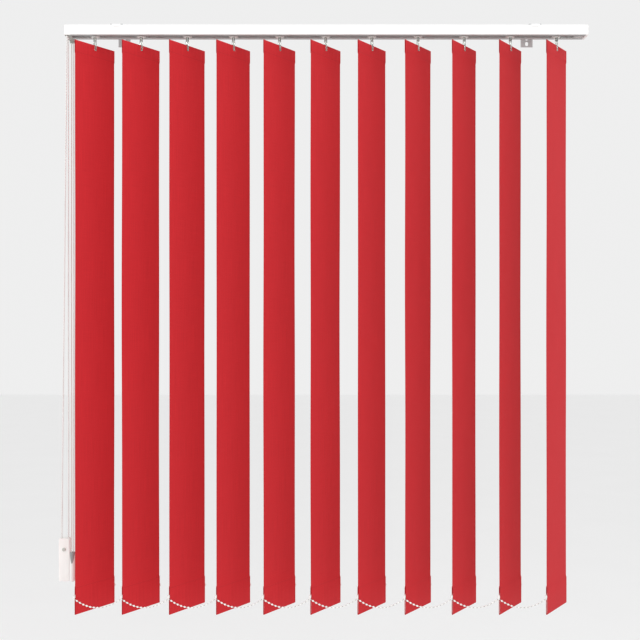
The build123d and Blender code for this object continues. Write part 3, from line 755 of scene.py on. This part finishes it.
def fold_line():
    """The cloth's middle line, as Y and Z, from the end of one flap to the other's."""
    top_mouth = CLOTH_TOP - TOP_HEM
    low_mouth = CLOTH_BOTTOM + BOTTOM_HEM
    line = [(FLAP_LIE, top_mouth - HEM_TAPER), (TOP_LAYER, top_mouth)]
    line += half_turn(TOP_LAYER, CLOTH_TOP, 1.0)
    line += [(-TOP_LAYER, top_mouth), (0.0, top_mouth - HEM_TAPER)]
    line += [(0.0, low_mouth + HEM_TAPER), (-BOTTOM_LAYER, low_mouth)]
    line += half_turn(BOTTOM_LAYER, CLOTH_BOTTOM, -1.0)[::-1]
    line += [(BOTTOM_LAYER, low_mouth), (FLAP_LIE, low_mouth + HEM_TAPER)]
    return line


print("fold line has", len(fold_line()), "points")

# %% The sheet
CURL = 0.9
RIPPLE = 0.5


def unfolded_height(y, z):
    """How far along the strip a point lies, with both hems opened out."""
    if y <= 0.0:
        return z
    fold = CLOTH_TOP if z > (CLOTH_TOP + CLOTH_BOTTOM) / 2 else CLOTH_BOTTOM
    return 2 * fold - z


def hang_softly(bm, number):
    """Gives the body of the cloth a faint curl and ripple, none at the hems."""
    chance = random.Random(int(number))
    curl, ripple, phase = (chance.uniform(-0.4, 1.0), chance.uniform(0.3, 1.0), chance.random())
    high = CLOTH_TOP - TOP_HEM - HEM_TAPER
    low = CLOTH_BOTTOM + BOTTOM_HEM + HEM_TAPER
    for vertex in bm.verts:
        x, y, z = vertex.co
        if y == 0.0 and low <= z <= high:
            share = (high - z) / (high - low)
            side = 2 * x / CLOTH_WIDTH
            wave = math.sin(2 * math.pi * (1.5 * share + phase))
            bow = CURL * curl * side * side + RIPPLE * ripple * wave * side
            vertex.co.y = math.sin(math.pi * share) * bow


def louvre_cloth(number):
    """One strip of cloth, folded at both ends and hung at its place."""
    bm = bmesh.new()
    start = -CLOTH_WIDTH / 2
    line = [bm.verts.new((start, y, z)) for y, z in fold_line()]
    edges = [bm.edges.new(pair) for pair in zip(line, line[1:])]
    longest = max(edges, key=lambda edge: edge.calc_length())
    bmesh.ops.subdivide_edges(bm, edges=[longest], cuts=BODY_ROWS)
    bmesh.ops.spin(
        bm,
        geom=bm.verts[:] + bm.edges[:],
        cent=(0.0, 0.0, 0.0),
        axis=(0.0, 0.0, 1.0),
        dvec=(CLOTH_WIDTH / COLUMNS, 0.0, 0.0),
        angle=0.0,
        steps=COLUMNS,
    )
    layer = bm.loops.layers.uv.new("cloth")
    for face in bm.faces:
        for loop in face.loops:
            x, y, z = loop.vert.co
            loop[layer].uv = (x * MM, unfolded_height(y, z) * MM)
    hang_softly(bm, number)
    bmesh.ops.transform(bm, matrix=hanging_frame(number), verts=bm.verts)
    return bm


# %% Hook, hanger and weight
SHELLS = {
    "hook": (-37.0, -2.0, hook_clear, "hook_plastic"),
    "hanger": (-45.0, -27.0, fitting_white, "white_plastic"),
    "weight": (-990.9, -954.0, fitting_white, "white_plastic"),
}


def lone_shell(node, low, high):
    """The one shell of a node that lies between two heights in millimetres."""
    bm = merged_copy(node)
    outside = []
    for group in islands(bm):
        lowest, highest = height_range(group)
        if lowest < low * MM or highest > high * MM:
            outside.extend(group)
    bmesh.ops.delete(bm, geom=outside, context="VERTS")
    return bm


for body in louvre_names:
    number = body[-2:]
    hung = []
    for kind, (low, high, finish, slot_name) in SHELLS.items():
        bm = lone_shell(body, low, high)
        name = f"louvre_{kind}_{number}"
        hung.append(piece(name, bm, finish, body, stands_for=(body,)))
    cloth = piece(
        f"louvre_cloth_{number}",
        louvre_cloth(number),
        cloth_finish,
        None,
        stands_for=(body,),
    )
    modifier(cloth, "SOLIDIFY", thickness=CLOTH_THICKNESS * MM, offset=0.0)
    settle(cloth)
    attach(cloth, body)

# %% [markdown]
# ## Linking chains
# Short bead chains join the front edges of the louvres at the bottom, so that they stay in step and
# don't swing. Each hangs from one swivel clip to the next. A clip keeps its heading as the louvre
# turns, so a chain can ride on it. Each chain is fixed to the first of its two clips and moves with
# it.

# %% Linking chains
SPAN_SAG = 15.0
SPAN_PARTS = 14
SPAN_FINENESS = 80


def clip_bead(number):
    """The middle of the bead on a louvre's swivel clip, in millimetres."""
    low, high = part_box(f"chain_clip_{number}")
    middle = (low + high) / 2
    return Vector((middle.x / MM, middle.y / MM, low.z / MM + BEAD_RADIUS))


for first, second in zip(louvre_names, louvre_names[1:]):
    start, end = clip_bead(first[-2:]), clip_bead(second[-2:])
    lowest = (start + end) / 2 - Vector((0.0, 0.0, 2 * SPAN_SAG))
    span_route = [tuple(start), tuple(lowest), tuple(end)]
    clip = f"chain_clip_{first[-2:]}"
    span, span_line = bead_chain(
        f"link_chain_{first[-2:]}", span_route, SPAN_PARTS, clip, 1.0, SPAN_FINENESS
    )
    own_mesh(span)

# %% [markdown]
# ## Stage and light
# A pale floor far below, an even pale world and three large soft lamps. The key lamp
# stands to the left and in front, so the louvres' front edges catch the most light.

# %% Floor
FLOOR_Z = -1.75
FLOOR_SIZE = 30.0

floor_finish = Finish("floor_paper", Roughness=0.9)
speck = floor_finish.noise(3.0, 2.0)
floor_finish.set(
    Base_Color=floor_finish.blend(speck, colour(0.93, 0.93, 0.93), colour(0.95, 0.95, 0.95))
)
bm = bmesh.new()
bmesh.ops.create_grid(bm, x_segments=2, y_segments=2, size=FLOOR_SIZE / 2)
bmesh.ops.translate(bm, vec=(0.0, 0.0, FLOOR_Z), verts=bm.verts)
floor = piece("floor", bm, floor_finish.material, None, smooth=False)
print("floor at", FLOOR_Z, "m")

# %% World and lamps
world = bpy.data.worlds.new("studio")
world.use_nodes = True
world.node_tree.nodes["Background"].inputs["Color"].default_value = (1.0, 1.0, 1.0, 1.0)
world.node_tree.nodes["Background"].inputs["Strength"].default_value = 0.86
bpy.context.scene.world = world
bpy.context.scene.view_settings.view_transform = "Standard"

blind_middle = Vector((0.0, RAIL_MIDDLE_Y, CLOTH_BOTTOM * MM / 2))


def lamp(name, place, size, power):
    """A soft square lamp, in metres and watts, which faces the blind's middle."""
    data = bpy.data.lights.new(name, "AREA")
    data.shape = "SQUARE"
    data.size = size
    data.energy = power
    made = bpy.data.objects.new(name, data)
    made.location = place
    made.rotation_euler = (blind_middle - Vector(place)).to_track_quat("-Z", "Y").to_euler()
    bpy.context.scene.collection.objects.link(made)
    return made


lamps = [
    lamp("key", (0.1, -2.4, 0.3), 1.6, 22.0),
    lamp("fill", (-2.4, -1.6, -0.2), 1.8, 9.0),
    lamp("top", (0.0, -0.9, 1.8), 1.8, 10.0),
]
print("lamps:", [made.name for made in lamps])
